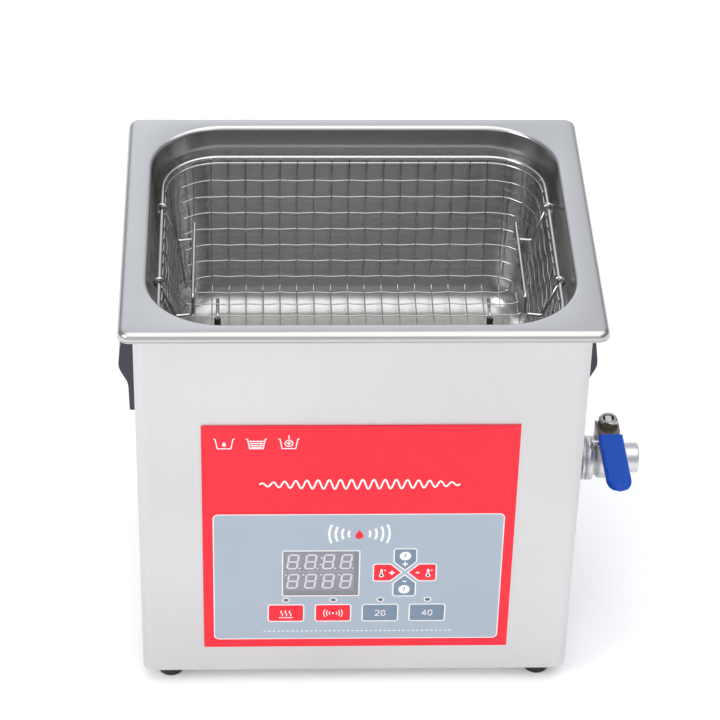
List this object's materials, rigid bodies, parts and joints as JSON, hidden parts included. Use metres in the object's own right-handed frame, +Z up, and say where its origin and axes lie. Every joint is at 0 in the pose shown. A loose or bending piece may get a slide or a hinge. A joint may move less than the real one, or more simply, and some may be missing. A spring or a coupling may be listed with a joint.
{
  "type": "ultrasonic cleaner",
  "caption": "Bench-top heated ultrasonic cleaner: deep-drawn steel tank in a steel casing, key panel with display, drain ball valve, side handles and a lift-out wire basket.",
  "frame": {"origin": "on the floor, under the middle of the whole bounding box, feet standing at z = 0", "axes": "+X to the right as seen from the front (drain valve side), -Y towards the control panel, +Z up"},
  "size_m": [0.3764, 0.265, 0.322],
  "materials": {
    "tank_steel": "satin drawn stainless steel",
    "case_steel": "stainless steel embossed with a fine linen pattern",
    "wire_steel": "bright polished stainless wire",
    "cast_steel": "turned stainless steel",
    "valve_steel": "cast stainless steel, polished",
    "lever_steel": "dull stainless steel plate",
    "rubber": "black moulded rubber",
    "handle_plastic": "dark slate moulded plastic",
    "label_red": "printed polyester overlay, satin",
    "key_red": "printed key, satin",
    "key_grey": "printed key, satin",
    "display_grey": "smoked display window",
    "sleeve_blue": "dipped vinyl, glossy",
    "board_green": "lacquered circuit board",
    "black_plastic": "black moulded plastic",
    "rocker_red": "red translucent plastic",
    "aluminium": "machined aluminium",
    "heater": "silicone heating mat",
    "guard_steel": "plated wire guard"
  },
  "bodies": {
    "machine": {"tank": "tank_steel", "casing": "case_steel", "base_plate": "case_steel", "foot_front_left": "rubber", "transducer_front_left": "aluminium", "foot_back_left": "rubber", "transducer_back_left": "aluminium", "foot_front_right": "rubber", "transducer_front_right": "aluminium", "foot_back_right": "rubber", "transducer_back_right": "aluminium", "control_label": "label_red", "control_board": "board_green", "generator_board": "board_green", "display_module": "display_grey", "heatsink": "aluminium", "heater_pad": "heater", "drain_fitting": "cast_steel", "drain_elbow": "cast_steel", "valve_lock_nut": "cast_steel", "valve_washer": "rubber", "valve_body": "valve_steel", "packing_nut": "lever_steel", "power_inlet": "black_plastic", "switch_housing": "black_plastic", "fan_frame": "black_plastic", "fan_guard": "guard_steel", "handle_left": "handle_plastic", "handle_right": "handle_plastic"},
    "basket": {"basket_floor": "wire_steel", "basket_side_front": "wire_steel", "basket_side_back": "wire_steel", "basket_side_left": "wire_steel", "basket_side_right": "wire_steel", "basket_rim": "wire_steel", "basket_foot_front_left": "wire_steel", "basket_foot_back_left": "wire_steel", "basket_foot_front_right": "wire_steel", "basket_foot_back_right": "wire_steel", "basket_tip_front_left": "rubber", "basket_tip_back_left": "rubber", "basket_tip_front_right": "rubber", "basket_tip_back_right": "rubber"},
    "basket_handle_left": {"basket_handle_left": "wire_steel"},
    "basket_handle_right": {"basket_handle_right": "wire_steel"},
    "valve_lever": {"valve_ball": "valve_steel", "valve_stem": "cast_steel", "valve_lever": "lever_steel", "lever_sleeve": "sleeve_blue", "lever_nut": "lever_steel"},
    "power_rocker": {"power_rocker": "rocker_red"},
    "fan_rotor": {"fan_rotor": "black_plastic"},
    "key_clock_plus": {"key_clock_plus": "key_grey"},
    "key_heat_plus": {"key_heat_plus": "key_red"},
    "key_clock_minus": {"key_clock_minus": "key_grey"},
    "key_heat_minus": {"key_heat_minus": "key_red"},
    "key_heating": {"key_heating": "key_red"},
    "key_ultrasonic": {"key_ultrasonic": "key_red"},
    "key_mode_low": {"key_mode_low": "key_grey"},
    "key_mode_high": {"key_mode_high": "key_grey"}
  },
  "joints": [
    {"name": "basket_lift", "type": "slide", "parent": "machine", "child": "basket", "axis": [0, 0, 1], "range_m": [0, 0.2]},
    {"name": "basket_handle_left_swing", "type": "hinge", "parent": "basket", "child": "basket_handle_left", "pos_m": [-0.1591, 0, 0.302], "axis": [0, -1, 0], "range_deg": [0, 150]},
    {"name": "basket_handle_right_swing", "type": "hinge", "parent": "basket", "child": "basket_handle_right", "pos_m": [0.1145, 0, 0.302], "axis": [0, 1, 0], "range_deg": [0, 150]},
    {"name": "valve_turn", "type": "hinge", "parent": "machine", "child": "valve_lever", "pos_m": [0.1642, 0, 0.1095], "axis": [0, 0, 1], "range_deg": [0, 87]},
    {"name": "power_rocker_tilt", "type": "hinge", "parent": "machine", "child": "power_rocker", "pos_m": [0.0727, 0.1225, 0.088], "axis": [1, 0, 0], "range_deg": [0, 20]},
    {"name": "fan_spin", "type": "hinge", "parent": "machine", "child": "fan_rotor", "pos_m": [-0.0973, 0.109, 0.068], "axis": [0, 1, 0], "continuous": true},
    {"name": "key_clock_plus_press", "type": "slide", "parent": "machine", "child": "key_clock_plus", "axis": [0, 1, 0], "range_m": [0, 0.0005], "stiffness_N_per_m": 4000},
    {"name": "key_heat_plus_press", "type": "slide", "parent": "machine", "child": "key_heat_plus", "axis": [0, 1, 0], "range_m": [0, 0.0005], "stiffness_N_per_m": 4000},
    {"name": "key_clock_minus_press", "type": "slide", "parent": "machine", "child": "key_clock_minus", "axis": [0, 1, 0], "range_m": [0, 0.0005], "stiffness_N_per_m": 4000},
    {"name": "key_heat_minus_press", "type": "slide", "parent": "machine", "child": "key_heat_minus", "axis": [0, 1, 0], "range_m": [0, 0.0005], "stiffness_N_per_m": 4000},
    {"name": "key_heating_press", "type": "slide", "parent": "machine", "child": "key_heating", "axis": [0, 1, 0], "range_m": [0, 0.0005], "stiffness_N_per_m": 4000},
    {"name": "key_ultrasonic_press", "type": "slide", "parent": "machine", "child": "key_ultrasonic", "axis": [0, 1, 0], "range_m": [0, 0.0005], "stiffness_N_per_m": 4000},
    {"name": "key_mode_low_press", "type": "slide", "parent": "machine", "child": "key_mode_low", "axis": [0, 1, 0], "range_m": [0, 0.0005], "stiffness_N_per_m": 4000},
    {"name": "key_mode_high_press", "type": "slide", "parent": "machine", "child": "key_mode_high", "axis": [0, 1, 0], "range_m": [0, 0.0005], "stiffness_N_per_m": 4000}
  ]
}
